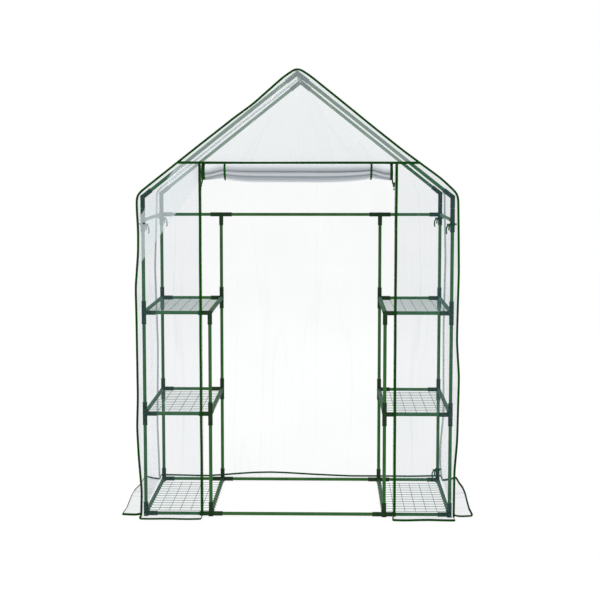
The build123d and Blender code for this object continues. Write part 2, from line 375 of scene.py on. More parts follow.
class Graph:
    """A material's nodes, laid out by short calls."""

    def __init__(self, name: str) -> None:
        """Start a material with an empty shader.

        Args:
            name: the material's name.
        """
        self.made = bpy.data.materials.new(name)
        self.made.use_nodes = True
        self.tree = self.made.node_tree
        self.tree.nodes.clear()
        self.shader = self.add("ShaderNodeBsdfPrincipled")
        out = self.add("ShaderNodeOutputMaterial")
        self.link(self.shader.outputs[0], out.inputs["Surface"])

    def add(self, kind: str, **settings: object) -> bpy.types.Node:
        """Add a node and set its fields."""
        node = self.tree.nodes.new(kind)
        for key, value in settings.items():
            setattr(node, key, value)
        return node

    def link(self, source: Socket, target: Socket) -> None:
        """Join an output to an input."""
        self.tree.links.new(source, target)

    def set(self, **values: object) -> None:
        """Set the shader's own sockets, with _ for a space in a socket's name."""
        for key, value in values.items():
            socket = self.shader.inputs[key.replace("_", " ")]
            if isinstance(value, Socket):
                self.link(value, socket)
            else:
                socket.default_value = value

    def place(self, kind: str = "Object") -> Socket:
        """Coordinates of the given kind."""
        return self.add("ShaderNodeTexCoord").outputs[kind]

    def stretch(self, vector: Socket, scale: tuple[float, float, float]) -> Socket:
        """Coordinates stretched by a factor along each axis."""
        node = self.add("ShaderNodeMapping")
        node.inputs["Scale"].default_value = scale
        self.link(vector, node.inputs["Vector"])
        return node.outputs[0]

    def noise(self, vector: Socket, scale: float, detail: float = 3.0) -> Socket:
        """Cloudy noise, from 0 to 1.

        Args:
            vector: coordinates it reads.
            scale: cells in a metre.
            detail: how many finer layers it has.
        Returns:
            The noise's height.
        """
        node = self.add("ShaderNodeTexNoise")
        node.inputs["Scale"].default_value = scale
        node.inputs["Detail"].default_value = detail
        self.link(vector, node.inputs["Vector"])
        return node.outputs[0]

    def ramp(self, height: Socket, *stops: tuple[float, tuple]) -> Socket:
        """A colour for each height.

        Args:
            height: the number read.
            stops: pairs of a height and a colour.
        Returns:
            The colour.
        """
        node = self.add("ShaderNodeValToRGB")
        bar = node.color_ramp.elements
        while len(bar) < len(stops):
            bar.new(0.5)
        for stop, (at, colour) in zip(bar, stops):
            stop.position = at
            stop.color = (*colour, 1.0)
        self.link(height, node.inputs[0])
        return node.outputs[0]

    def sums(self, operation: str, a: object, b: object = 0.0, c: object = 0.0) -> Socket:
        """Arithmetic on numbers or sockets.

        Args:
            operation: the math node's operation.
            a: first number or socket.
            b: second number or socket.
            c: third number or socket.
        Returns:
            The result.
        """
        node = self.add("ShaderNodeMath", operation=operation)
        for socket, value in zip(node.inputs, (a, b, c)):
            if isinstance(value, Socket):
                self.link(value, socket)
            else:
                socket.default_value = value
        return node.outputs[0]

    def between(self, height: Socket, low: float, high: float) -> Socket:
        """A height from 0 to 1 moved to lie between two numbers."""
        return self.sums("MULTIPLY_ADD", height, high - low, low)

    def axes(self, vector: Socket) -> tuple[Socket, ...]:
        """The three numbers of a vector."""
        node = self.add("ShaderNodeSeparateXYZ")
        self.link(vector, node.inputs[0])
        return tuple(node.outputs)

    def bumps(self, height: Socket, strength: float, depth: float) -> None:
        """Raise the surface by a height.

        Args:
            height: from 0 to 1.
            strength: share of the effect.
            depth: distance in metres from 0 to 1.
        """
        node = self.add("ShaderNodeBump")
        node.inputs["Strength"].default_value = strength
        node.inputs["Distance"].default_value = depth
        self.link(height, node.inputs["Height"])
        old = self.shader.inputs["Normal"]
        if old.is_linked:
            self.link(old.links[0].from_socket, node.inputs["Normal"])
        self.link(node.outputs[0], old)


@dataclass(frozen=True)
class Finish:
    """A finish, made once and shared by the pieces that have it."""

    name: str

    def material(self) -> bpy.types.Material:
        """The finish's material."""
        found = bpy.data.materials.get(self.name)
        return found or self.paint()

    def paint(self) -> bpy.types.Material:
        """Lay out the material's nodes."""
        raise NotImplementedError


@dataclass(frozen=True)
class PowderCoat(Finish):
    """Powder-coated steel: orange peel, slight scuffs and a soft gloss."""

    dark: tuple[float, float, float] = (0.012, 0.078, 0.010)
    light: tuple[float, float, float] = (0.024, 0.112, 0.019)
    gloss: float = 0.2

    def paint(self) -> bpy.types.Material:
        """Lay out the material's nodes."""
        graph = Graph(self.name)
        place = graph.place()
        cloud = graph.noise(place, 14.0, 4.0)
        scuff = graph.noise(graph.stretch(place, (1.0, 1.0, 0.15)), 210.0, 5.0)
        graph.set(
            Base_Color=graph.ramp(cloud, (0.3, self.dark), (0.7, self.light)),
            Roughness=graph.between(scuff, 0.24, 0.5),
            Metallic=0.0,
            Specular_IOR_Level=self.gloss,
        )
        graph.bumps(graph.noise(place, 900.0, 2.0), 0.25, 0.0004)
        return graph.made


@dataclass(frozen=True)
class Moulding(Finish):
    """Moulded plastic: fine spark-eroded grain and flow marks."""

    dark: tuple[float, float, float] = (0.003, 0.019, 0.003)
    light: tuple[float, float, float] = (0.006, 0.034, 0.006)
    rough: tuple[float, float] = (0.4, 0.6)
    gloss: float = 0.16

    def paint(self) -> bpy.types.Material:
        """Lay out the material's nodes."""
        graph = Graph(self.name)
        place = graph.place()
        flow = graph.noise(graph.stretch(place, (1.0, 1.0, 0.4)), 60.0, 5.0)
        grain = graph.noise(place, 1500.0, 2.0)
        graph.set(
            Base_Color=graph.ramp(flow, (0.3, self.dark), (0.75, self.light)),
            Roughness=graph.between(grain, *self.rough),
            Specular_IOR_Level=self.gloss,
        )
        graph.bumps(grain, 0.35, 0.0003)
        return graph.made


@dataclass(frozen=True)
class ClearFilm(Finish):
    """Clear sheet film: mostly see-through, with haze, streaks, faint broken creases, and on some sheets a
    painted reflection as a whitish veil.
    """

    haze: float = 0.13
    streak: float = 0.10
    tint: tuple[float, float, float] = (0.02, 0.11, 0.165)
    # Whitish colour of the slight haze and of the painted reflection veil.
    haze_and_glare_colour: tuple[float, float, float] = (0.54, 0.61, 0.63)
    # Even whitish veil over the whole sheet: a painted reflection.
    cloud: float = 0.0
    crease: float = 0.05
    # Slanting strips with a whitish veil: painted reflection.
    glare_bands: tuple[tuple[float, float, float], ...] = ()

    def paint(self) -> bpy.types.Material:
        """Lay out the material's nodes.

        Haze is a slow cloud plus streaks. Creases are the thin lines where a stretched cloudy noise
        passes through its middle value, and fade in and out with the slow cloud. The cloud field and the
        glare bands are painted reflection: a whitish veil over the whole sheet, and over slanting strips of
        it, each strip given by its slope and the lowest and highest height at which its edges pass the middle
        of the greenhouse.
        """
        graph = Graph(self.name)
        sheet = graph.place("UV")
        cloud = graph.noise(sheet, 3.2, 4.0)
        streaks = graph.noise(graph.stretch(sheet, (2.0, 26.0, 1.0)), 1.6, 5.0)
        folds = graph.noise(graph.stretch(sheet, (0.35, 7.0, 1.0)), 1.0, 1.0)
        near = graph.sums("DIVIDE", graph.sums("ABSOLUTE", graph.sums("SUBTRACT", folds, 0.5)), 0.014)
        crease = graph.sums("MAXIMUM", graph.sums("SUBTRACT", 1.0, near), 0.0)
        worn = graph.sums("MULTIPLY", crease, graph.between(cloud, 0.0, 2.0 * self.crease))
        both = graph.sums("MULTIPLY_ADD", streaks, self.streak, graph.sums("MULTIPLY", cloud, 0.06))
        veil = graph.sums("ADD", both, self.haze - 0.5 * self.streak - 0.03)
        # Slight haze that varies with the cloud noise, plus the even painted reflection.
        haze_and_glare = graph.sums("MULTIPLY_ADD", cloud, 0.02, self.cloud)
        # Painted reflection: a whitish veil over each slanting strip.
        for slope, low, high in self.glare_bands:
            x, _, z = graph.axes(graph.place())
            level = graph.sums("MULTIPLY_ADD", x, -slope, z)
            wavy = graph.sums("MULTIPLY_ADD", cloud, 0.03, level)
            over = graph.sums("DIVIDE", graph.sums("SUBTRACT", wavy, low), 0.012)
            under = graph.sums("DIVIDE", graph.sums("SUBTRACT", high, wavy), 0.012)
            inside = graph.sums("MAXIMUM", graph.sums("MINIMUM", over, under), 0.0)
            haze_and_glare = graph.sums("MULTIPLY_ADD", graph.sums("MINIMUM", inside, 1.0), 0.42, haze_and_glare)
        # Mix towards the whitish colour where haze and painted reflection lie.
        hue = graph.add("ShaderNodeMix", data_type="RGBA")
        graph.link(graph.sums("MINIMUM", graph.sums("MULTIPLY", haze_and_glare, 3.0), 1.0), hue.inputs[0])
        paler = tuple(1.15 * c for c in self.tint)
        graph.link(graph.ramp(cloud, (0.3, self.tint), (0.7, paler)), hue.inputs[6])
        hue.inputs[7].default_value = (*self.haze_and_glare_colour, 1.0)
        graph.set(
            Base_Color=hue.outputs[2],
            Alpha=graph.sums("ADD", graph.sums("ADD", veil, worn), haze_and_glare),
            Roughness=graph.between(streaks, 0.06, 0.2),
            IOR=1.46,
            Specular_IOR_Level=1.0,
        )
        fine = graph.noise(graph.stretch(sheet, (6.0, 16.0, 1.0)), 2.2, 4.0)
        graph.bumps(graph.sums("MULTIPLY_ADD", crease, 0.35, fine), 0.22, 0.012)
        return graph.made


@dataclass(frozen=True)
class RolledFilm(Finish):
    """Many layers of film rolled together: cloudy white, streaked along the roll, with a dull sheen, and
    painted shade and highlight round it.
    """

    girth: float = 0.2
    # Painted shade at the bottom of each fold.
    deep: tuple[float, float, float] = (0.14, 0.17, 0.195)
    # Where few layers lie, with a painted highlight on top.
    pale: tuple[float, float, float] = (0.88, 0.90, 0.92)

    def paint(self) -> bpy.types.Material:
        """Lay out the material's nodes.

        V runs round the roll and is scaled to go from 0 to 1. Its colour is partly the layers and partly
        painted
        light and shade: pale at the top and underneath, where few layers lie behind one another, with a
        painted highlight on top; painted shade darkening towards the middle of each fold, with one pale fold
        between.
        Streaks run along the roll: noise stretched along U.
        """
        graph = Graph(self.name)
        sheet = graph.place("UV")
        band = graph.noise(graph.stretch(sheet, (1.3, 44.0, 1.0)), 1.4, 5.0)
        fine = graph.noise(graph.stretch(sheet, (5.0, 260.0, 1.0)), 1.2, 4.0)
        mixed = graph.sums("MULTIPLY_ADD", fine, 0.3, graph.sums("MULTIPLY", band, 0.7))
        _, v, _ = graph.axes(sheet)
        turned = graph.sums("DIVIDE", v, self.girth)
        round_it = graph.sums("MULTIPLY_ADD", graph.sums("SUBTRACT", mixed, 0.5), 0.05, turned)
        middle = (0.42, 0.45, 0.475)
        # Painted light and shade round the roll: pale top with a painted highlight, dark painted shade at the
        # bottom of each fold.
        tone = graph.ramp(
            round_it,
            (0.0, middle),
            (0.26, self.pale),
            (0.34, (0.62, 0.65, 0.68)),
            (0.468, self.deep),
            (0.480, (0.42, 0.45, 0.48)),
            (0.545, (0.46, 0.48, 0.50)),
            (0.580, (0.22, 0.25, 0.275)),
            (0.66, (0.38, 0.41, 0.44)),
            (0.75, self.pale),
            (1.0, middle),
        )
        graph.set(
            Base_Color=tone,
            Alpha=graph.between(band, 0.88, 1.0),
            Roughness=graph.between(fine, 0.25, 0.45),
            Specular_IOR_Level=0.3,
        )
        graph.bumps(mixed, 0.35, 0.002)
        return graph.made


@dataclass(frozen=True)
class Woven(Finish):
    """Woven tape: ribs across, warp threads along, and a row of stitches near each edge."""

    dark: tuple[float, float, float] = (0.0016, 0.026, 0.0012)
    light: tuple[float, float, float] = (0.006, 0.062, 0.004)
    rib: float = 0.0011
    stitches: bool = True

    def paint(self) -> bpy.types.Material:
        """Lay out the material's nodes.

        Ribs are the product of a sine along U and one along V. Stitches are the first 60 percent of
        each 5 mm of U, within half a millimetre of a line 2 mm in from the tape's edge.
        """
        graph = Graph(self.name)
        sheet = graph.place("UV")
        u, v, _ = graph.axes(sheet)
        turn = 2 * math.pi / self.rib
        over = graph.sums("SINE", graph.sums("MULTIPLY", u, turn))
        under = graph.sums("SINE", graph.sums("MULTIPLY", v, turn * 0.8))
        weave = graph.sums("MULTIPLY_ADD", graph.sums("MULTIPLY", over, under), 0.5, 0.5)
        worn = graph.noise(sheet, 45.0, 4.0)
        tone = graph.sums("MULTIPLY_ADD", weave, 0.45, graph.sums("MULTIPLY", worn, 0.55))
        height = weave
        if self.stitches:
            on = graph.sums("LESS_THAN", graph.sums("PINGPONG", u, 0.0025), 0.0015)
            line = graph.sums("COMPARE", graph.sums("PINGPONG", v, 0.006), 0.004, 0.0005)
            thread = graph.sums("MULTIPLY", on, line)
            tone = graph.sums("MULTIPLY_ADD", thread, 0.35, tone)
            height = graph.sums("MULTIPLY_ADD", thread, 0.8, weave)
        graph.set(
            Base_Color=graph.ramp(tone, (0.25, self.dark), (0.75, self.light)),
            Roughness=graph.between(weave, 0.55, 0.8),
            Specular_IOR_Level=0.03,
        )
        graph.bumps(height, 0.5, 0.0004)
        return graph.made


@dataclass(frozen=True)
class Studio(Finish):
    """The plain pale floor, which glows a little more with the distance from the middle."""

    shade: float = 0.10
    glow: float = 0.895

    def paint(self) -> bpy.types.Material:
        """Lay out the material's nodes."""
        graph = Graph(self.name)
        x, y, _ = graph.axes(graph.place())
        away = graph.sums("SQRT", graph.sums("MULTIPLY_ADD", x, x, graph.sums("MULTIPLY", y, y)))
        far = graph.sums("MINIMUM", graph.sums("DIVIDE", away, 5.0), 1.0)
        graph.set(
            Base_Color=(self.shade, self.shade, self.shade, 1.0),
            Roughness=0.9,
            Specular_IOR_Level=0.1,
            Emission_Color=(1.0, 1.0, 1.0, 1.0),
            Emission_Strength=graph.sums("MULTIPLY_ADD", far, 0.04, self.glow),
        )
        return graph.made


TUBE = PowderCoat("tube_powder_coat")
WIRE = PowderCoat("shelf_wire_coat", dark=(0.03, 0.105, 0.07), light=(0.06, 0.18, 0.12), gloss=0.8)
JOINT = Moulding("joint_moulding")
FILM = ClearFilm("side_film", haze=0.14, streak=0.08, crease=0.12)
BACK_FILM = ClearFilm("back_film", haze=0.045, streak=0.02, crease=0.02)
# The left panel's slanting strip is a painted reflection of light on the film.
LEFT_FILM = ClearFilm("panel_film_left", haze=0.11, streak=0.05, glare_bands=((1.36, 2.165, 2.39),))
RIGHT_FILM = ClearFilm("panel_film_right", haze=0.125, streak=0.05)
# The gable's even whitish veil is a painted reflection of light on the film.
GABLE_FILM = ClearFilm("gable_film", haze=0.02, streak=0.03, cloud=0.30)
DOOR_FILM = ClearFilm("door_film_single", haze=0.14)
WELD = ClearFilm("welded_seam", haze=0.5, streak=0.2, tint=(0.16, 0.22, 0.25))
TAPE = Woven("sewn_tape")
RIBBON = Woven(
    "tie_ribbon", dark=(0.002, 0.038, 0.003), light=(0.008, 0.078, 0.009), rib=0.0007, stitches=False
)
COIL = Moulding("zip_coil", dark=(0.004, 0.034, 0.006), light=(0.008, 0.06, 0.01), rough=(0.25, 0.4))
ZIP_PART = Moulding(
    "zip_slider_enamel", dark=(0.006, 0.05, 0.008), light=(0.012, 0.075, 0.012), rough=(0.18, 0.34)
)
FLOOR = Studio("studio_floor")


# Cover ------------------------------------------------------------------------------------------


@dataclass
class Outline:
    """The cover's outline at one end of the greenhouse, from the ground over the eave to the ridge.

    The wall bulges by a small distance at each height, and the roof lies a little over or under its
    straight line, as film does that is pulled over a frame.
    """

    wall_x: float
    eave_z: float
    ridge_z: float
    bulge: tuple[tuple[float, float], ...]
    lift: tuple[tuple[float, float], ...]
    round_off: float = 0.016

    def line(self, count: int) -> Array:
        """The outline as evenly spaced points.

        Args:
            count: how many points.
        Returns:
            Rows of distance from the middle and height.
        """
        z = np.linspace(0.0, self.eave_z, 90)
        wall = np.stack([self.wall_x + np.interp(z, *zip(*self.bulge)), z], axis=1)
        x = np.linspace(self.wall_x, 0.0, 70)[1:]
        straight = self.ridge_z - x * (self.ridge_z - self.eave_z) / self.wall_x
        roof = np.stack([x, straight + np.interp(x, *zip(*self.lift))], axis=1)
        rounded = soften(np.concatenate([wall, roof]), self.round_off)
        rounded[-3:, 1] = rounded[-4, 1] + 0.0004
        rounded[:, 0] = np.maximum(rounded[:, 0], 0.0)
        return resample(rounded, count)


@dataclass
class Cover:
    """The film cover: wraps over walls and roof, front panels, gable, back, and their skirts."""

    sizes: Sizes
    rows: int = 150
    eave_z: float = 1.4895
    ridge_over: float = 0.0262
    side_skirt_rows: int = 16
    front_skirt_rows: int = 10
    back_skirt_rows: int = 14
    outlines: dict = field(default_factory=dict)
    hems: dict = field(default_factory=dict)
    back_hem: tuple[tuple[float, float], ...] = (
        (-0.73, 0.012), (-0.58, 0.009), (-0.5, 0.007), (-0.42, 0.013), (-0.33, 0.021), (-0.245, 0.027),
        (-0.16, 0.029), (-0.09, 0.027), (0.05, 0.020), (0.15, 0.016), (0.26, 0.012), (0.57, 0.010),
        (0.73, 0.014),
    )

    def __post_init__(self) -> None:
        """Set the four outlines: each side at each end."""
        shapes = {
            (Side.LEFT, End.FRONT): (
                ((0, -0.002), (0.12, -0.006), (0.28, 0.006), (0.42, 0.012), (0.56, 0.007), (0.91, 0.009),
                 (1.07, 0.011), (1.23, -0.002), (1.33, -0.003), (1.43, 0.002)),
                ((0, -0.005), (0.06, 0.003), (0.2, -0.009), (0.28, -0.003), (0.45, 0), (0.68, 0.002)),
            ),
            (Side.RIGHT, End.FRONT): (
                ((0, -0.004), (0.22, -0.003), (0.36, 0.008), (0.54, 0.011), (0.66, 0.013), (0.82, 0.002),
                 (0.92, 0.003), (1.14, 0.007), (1.32, 0.004), (1.45, 0.001)),
                ((0, -0.005), (0.05, 0.005), (0.2, 0.004), (0.34, 0.002), (0.48, 0.003), (0.56, 0.008),
                 (0.65, 0.014), (0.71, 0.006)),
            ),
            (Side.LEFT, End.BACK): (
                ((0, 0.002), (0.3, 0.011), (0.7, 0.004), (1.1, 0.015), (1.4, 0.003)),
                ((0, -0.004), (0.3, 0.001), (0.7, 0.002)),
            ),
            (Side.RIGHT, End.BACK): (
                ((0, 0.004), (0.03, -0.002), (0.08, -0.008), (0.14, -0.009), (0.205, -0.007), (0.26, -0.002),
                 (0.35, 0.006), (0.8, 0.002), (1.15, 0.008), (1.4, 0.001)),
                ((0, -0.004), (0.3, 0.003), (0.62, 0.007), (0.72, 0.002)),
            ),
        }
        self.hems = {
            Side.LEFT: ((-0.37, 0.816), (-0.24, 0.812), (-0.11, 0.818), (0.0, 0.8245), (0.107, 0.8245),
                        (0.18, 0.817), (0.26, 0.811), (0.37, 0.812), (0.42, 0.802)),
            Side.RIGHT: ((-0.36, 0.8125), (-0.24, 0.809), (-0.083, 0.814), (0.08, 0.820), (0.206, 0.819),
                         (0.315, 0.812), (0.42, 0.806)),
        }
        for key, (bulge, lift) in shapes.items():
            ridge = self.sizes.apex_z + self.ridge_over
            outline = Outline(self.sizes.wall_x, self.eave_z, ridge, bulge, lift)
            self.outlines[key] = outline.line(self.rows)

    def edge_x(self, side: Side, end: End, z: Array) -> Array:
        """Distance of the outline from the middle at each height."""
        line = self.outlines[(side, end)]
        return np.interp(z, line[:, 1], line[:, 0])

    def wrap(self, side: Side) -> Array:
        """One side's sheet, from the edge of its skirt up the wall and over the roof to the ridge.

        Every row runs from the front seam to the back seam: its ends are the two outlines, blended
        in a straight line between, plus soft creases that fade out at both seams. The skirt's rows
        lie on the ground and slant in at their ends.

        Args:
            side: left or right.
        Returns:
            A grid of points.
        """
        cols = 80
        v = np.linspace(0.0, 1.0, cols)
        depth = self.sizes.front_y
        front = self.outlines[(side, End.FRONT)]
        back = self.outlines[(side, End.BACK)]
        flat = front[:, None] * (1 - v)[None, :, None] + back[:, None] * v[None, :, None]
        x, z = flat[..., 0], flat[..., 1]
        y = np.broadcast_to(-depth + 2 * depth * v, x.shape)
        up = np.cumsum(np.linalg.norm(np.diff(front, axis=0, prepend=front[:1]), axis=1))[:, None]
        hold = np.sin(math.pi * v)[None, :] ** 0.6
        top = np.clip((z - 1.5) / 0.08, 0.0, 1.0)
        amount = 0.0045 * (1 - top) + 0.0018 * top
        crease = amount * hold * waves(y, up, side.value * 1.0)
        slope = math.atan2(self.sizes.apex_z - 1.481, self.sizes.post_x)
        out_x = np.where(top > 0, math.sin(slope), 1.0)
        out_z = np.where(top > 0, math.cos(slope), 0.0)
        low = np.clip(z / 0.05, 0.0, 1.0)
        wall = np.stack([x + crease * out_x * low, y, z + crease * out_z + 0.004], axis=-1)
        q = np.linspace(1.0, 0.0, self.side_skirt_rows, endpoint=False)[:, None]
        start = -depth + 0.010 * q + 0.040 * np.exp(-q / 0.14) * np.clip(q / 0.05, 0.0, 1.0)
        end = depth + 0.050 * q**1.5
        sy = start + v * (end - start)
        outer = np.interp(sy, *zip(*self.hems[side]))
        sx = self.sizes.wall_x + q * (outer - self.sizes.wall_x)
        sz = 0.0035 + 0.004 * q * (0.5 + 0.5 * waves(sy, q * 0.1, 2.0 + side.value))
        skirt = np.stack([sx, np.broadcast_to(sy, sx.shape), sz], axis=-1)
        sheet = np.concatenate([skirt, wall])
        sheet[..., 0] *= side.value
        return sheet

    def front_panel(self, side: Side) -> Array:
        """The fixed panel beside the door, with its skirt on the ground in front.

        Each row runs from the door jamb out to the seam, whose distance at that height is read from
        the outline.

        Args:
            side: left or right.
        Returns:
            A grid of points.
        """
        cols = 36
        a = np.linspace(0.0, 1.0, cols)[None]
        z = np.linspace(0.004, self.sizes.header_z, 140)[:, None]
        inner = self.sizes.jamb_x - 0.002
        outer = self.edge_x(side, End.FRONT, z)
        x = inner + a * (outer - inner)
        foot = np.clip(z / 0.06, 0, 1)
        head = np.clip((self.sizes.header_z - z) / 0.05, 0, 1)
        hold = np.sin(math.pi * a) ** 0.7 * foot * head
        y = -self.sizes.front_y - 0.0022 * hold * (0.4 + waves(x, z, 3.0 + side.value))
        wall = np.stack([x, y, np.broadcast_to(z, x.shape)], axis=-1)
        q = np.linspace(1.0, 0.0, self.front_skirt_rows, endpoint=False)[:, None]
        base = inner + a * (outer[0] - inner)
        flare = 0.004 * q * (a - 0.5)
        wavy = 0.002 * np.sin(5 * a + side.value)
        sy = -self.sizes.front_y - q * (self.sizes.skirt_y - self.sizes.front_y - 0.008 + wavy)
        sz = 0.0032 + 0.0008 * q * (1 + np.sin(9 * a + 3 * q))
        skirt = np.stack([base + flare, sy, sz], axis=-1)
        sheet = np.concatenate([skirt, wall])
        sheet[..., 0] *= side.value
        return sheet

    def face(self, end: End, low: float) -> Array:
        """A gable or back wall: rows from seam to seam, up to the ridge.

        Args:
            end: front or back.
            low: height of its lowest row.
        Returns:
            A grid of points.
        """
        cols = 90
        a = np.linspace(0.0, 1.0, cols)[None]
        top = min(self.outlines[(s, end)][-1, 1] for s in Side) - 0.001
        z = np.linspace(low, top, 150 if low < 0.1 else 60)[:, None]
        left = -self.edge_x(Side.LEFT, end, z)
        right = self.edge_x(Side.RIGHT, end, z)
        x = left + a * (right - left)
        hold = np.sin(math.pi * a) ** 0.5 * np.clip((z - low) / 0.05, 0, 1)
        push = 0.0025 if low > 0.1 else 0.004
        y = end.value * (self.sizes.front_y + push * hold * (0.4 + waves(x, z, 5.0 + end.value)))
        wall = np.stack([x, y, np.broadcast_to(z, x.shape)], axis=-1)
        if low > 0.1:
            return wall
        q = np.linspace(1.0, 0.0, self.back_skirt_rows, endpoint=False)[:, None]
        base = x[:1] * (1 + 0.004 * q)
        wavy = 0.003 * np.sin(6 * a + 1) + 0.002 * np.sin(17 * a)
        sy = self.sizes.front_y + q * (self.sizes.skirt_y - self.sizes.front_y + 0.004 + wavy)
        sz = 0.004 + q**2 * (np.interp(base, *zip(*self.back_hem)) - 0.009)
        skirt = np.stack([base, sy, np.broadcast_to(sz, base.shape)], axis=-1)
        return np.concatenate([skirt, wall])

    def build(self) -> None:
        for side in Side:
            word = side.word
            piece = grid_piece(f"film_wrap_{word}", self.wrap(side), FILM)
            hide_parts(f"film_wall_{word}", f"film_roof_{word}", f"side_skirt_{word}")
            self.settle(piece, (0.75, 2.47), "stretched")
            finish = LEFT_FILM if side is Side.LEFT else RIGHT_FILM
            piece = grid_piece(f"film_front_panel_{word}", self.front_panel(side), finish)
            nodes = [f"film_front_{word}"] + (["front_skirts"] if side is Side.LEFT else [])
            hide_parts(*nodes)
            self.settle(piece, (0.29, 1.71), "hung")
        gable = grid_piece("film_gable_sheet", self.face(End.FRONT, self.sizes.header_z), GABLE_FILM)
        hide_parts("film_gable_front")
        self.settle(gable, (1.07, 0.43), "stretched", area=0.23)
        back = grid_piece("film_back_sheet", self.face(End.BACK, 0.005), BACK_FILM)
        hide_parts("film_wall_back", "back_skirt")
        self.settle(back, (1.46, 2.15), "stretched", area=2.66)

    @staticmethod
    def settle(
        piece: bpy.types.Object, flat: tuple[float, float], held: str, area: float | None = None
    ) -> None:
        """Ride a sheet on the frame.

        Args:
            piece: the sheet.
            flat: width and length it was cut to; not used.
            held: how it hangs; not used.
            area: its flat area, where the cut isn't a rectangle; not used.
        """
        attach(piece, ROOT)
        LOG.info("made %s", piece.name)


@dataclass
class Trim:
    """Tape sewn over the cover's seams and edges."""

    sizes: Sizes
    cover: Cover
    width: float = 0.0105
    thick: float = 0.0017
    header_w: float = 0.0114
    header_thick: float = 0.0018
    skirt_w: float = 0.0108
    skirt_thick: float = 0.0024

    def seam_path(self, end: End) -> Array:
        """The seam round one end, from ground to ground."""
        left = self.cover.outlines[(Side.LEFT, end)].copy()
        right = self.cover.outlines[(Side.RIGHT, end)].copy()
        left[:, 0] *= -1
        flat = np.concatenate([left, right[::-1][1:]])
        y = np.full(len(flat), end.value * (self.sizes.front_y + 0.0012))
        path = np.stack([flat[:, 0], y, np.maximum(flat[:, 1], 0.003)], axis=1)
        return resample(soften(path, 0.006), 520)

    def seam(self, end: End) -> Array:
        """Tape standing out from the seam, turned a little towards the end it faces."""
        path = self.seam_path(end)
        tangent = unit(np.gradient(path, axis=0))
        out = np.cross(tangent, [0.0, 1.0, 0.0])
        out = np.where((out[:, :1] * path[:, :1] + out[:, 2:] * (path[:, 2:] - 1.0)) < 0, -out, out)
        side = unit(out + np.array([0.0, 0.35 * end.value, 0.0]))
        shift = path + 0.0015 * side
        return carry(shift, tape_section(self.width, self.thick), side)

    @staticmethod
    def free_edge(skirt: Array) -> Array:
        """A skirt's first column from the wall outwards, its outer row, and its last column back."""
        return np.concatenate([skirt[::-1, 0], skirt[0][1:], skirt[1:, -1]])

    def ground_paths(self) -> list[Array]:
        """The edges of the skirts, each from seam to seam round its free edge."""
        cover = self.cover
        paths = []
        for side in Side:
            paths.append(self.free_edge(cover.wrap(side)[: cover.side_skirt_rows]))
            paths.append(self.free_edge(cover.front_panel(side)[: cover.front_skirt_rows, ::-1]))
        paths.append(self.free_edge(cover.face(End.BACK, 0.005)[: cover.back_skirt_rows]))
        return paths

    def build(self) -> None:
        """Make the seam, header and skirt tapes."""
        for end in End:
            finish = TAPE if end is End.FRONT else WELD
            piece = grid_piece(f"seam_tape_{end.word}", self.seam(end), finish, wrap=True, caps=True)
            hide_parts(f"seam_binding_{end.word}")
            self.settle(piece)
        level = np.array([self.sizes.header_z + 0.002])
        left, right = (float(self.cover.edge_x(s, End.FRONT, level)[0]) for s in Side)
        x = np.linspace(-left + 0.002, right + 0.001, 160)
        z = self.sizes.header_z + 0.0016 - 0.0012 * np.cos(2.6 * x) + 0.0005 * np.sin(9 * x)
        path = np.stack([x, np.full_like(x, -self.sizes.front_y - 0.0012), z], axis=1)
        folded = carry(path, tape_section(self.header_w, self.header_thick), [0, 0, 1])
        header = grid_piece("header_tape", folded, TAPE, wrap=True, caps=True)
        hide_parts("header_binding")
        self.settle(header)
        grids = []
        for path in self.ground_paths():
            line = resample(soften(path, 0.006), 240)
            line[:, 2] = np.maximum(line[:, 2] + 0.0020, 0.0052)
            side = np.cross(unit(np.gradient(line, axis=0)), [0, 0, 1])
            side[:, 2] = 1.8
            grids.append(carry(line, tape_section(self.skirt_w, self.skirt_thick), side))
        skirt = joined_piece("skirt_tapes", grids, TAPE)
        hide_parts("skirt_bindings")
        self.settle(skirt)

    @staticmethod
    def settle(piece: bpy.types.Object) -> None:
        """Ride a tape on the frame."""
        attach(piece, ROOT)
        LOG.info("made %s", piece.name)


@dataclass
class Zips:
    """Zip halves down both jambs: a tape sewn to the panel and a nylon coil on its free edge."""

    sizes: Sizes
    pitch: float = 0.0026
    tape_w: float = 0.0117
    tape_x: dict = field(default_factory=lambda: {Side.LEFT: 0.4430, Side.RIGHT: 0.4490})
    coil_x: dict = field(default_factory=lambda: {Side.LEFT: 0.4359, Side.RIGHT: 0.4419})

    def tape(self, side: Side) -> Array:
        """The jamb's tape, from just over the ground up to the header, a little uneven."""
        z = np.linspace(0.004, self.sizes.header_z + 0.002, 220)
        x = side.value * (self.tape_x[side] + 0.0007 * np.sin(4 * z + side.value) + 0.0003 * np.sin(17 * z))
        path = np.stack([x, np.full_like(z, -self.sizes.front_y - 0.0011), z], axis=1)
        return carry(path, tape_section(self.tape_w, 0.0014), [1, 0, 0])

    def coil(self, side: Side) -> Array:
        """The coil: a round thread wound in a flattened helix along the tape's free edge."""
        low, high = 0.006, self.sizes.header_z - 0.008
        turns = int((high - low) / self.pitch)
        t = np.linspace(0.0, turns, turns * 7)
        turn = 2 * math.pi * t
        x = side.value * self.coil_x[side] + 0.0013 * np.cos(turn)
        y = -self.sizes.front_y - 0.0008 + 0.0009 * np.sin(turn)
        path = np.stack([x, y, low + self.pitch * t], axis=1)
        return carry(path, round_section(0.00042, 4), [0, 0, 1])

    def build(self) -> None:
        """Make both halves."""
        tapes = joined_piece("jamb_tapes", [self.tape(s) for s in Side], TAPE)
        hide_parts("zip_tapes")
        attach(tapes, ROOT)
        for side in Side:
            coil = grid_piece(f"zip_coil_{side.word}", self.coil(side), COIL, wrap=True, caps=True)
            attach(coil, ROOT)
            LOG.info("made %s", coil.name)


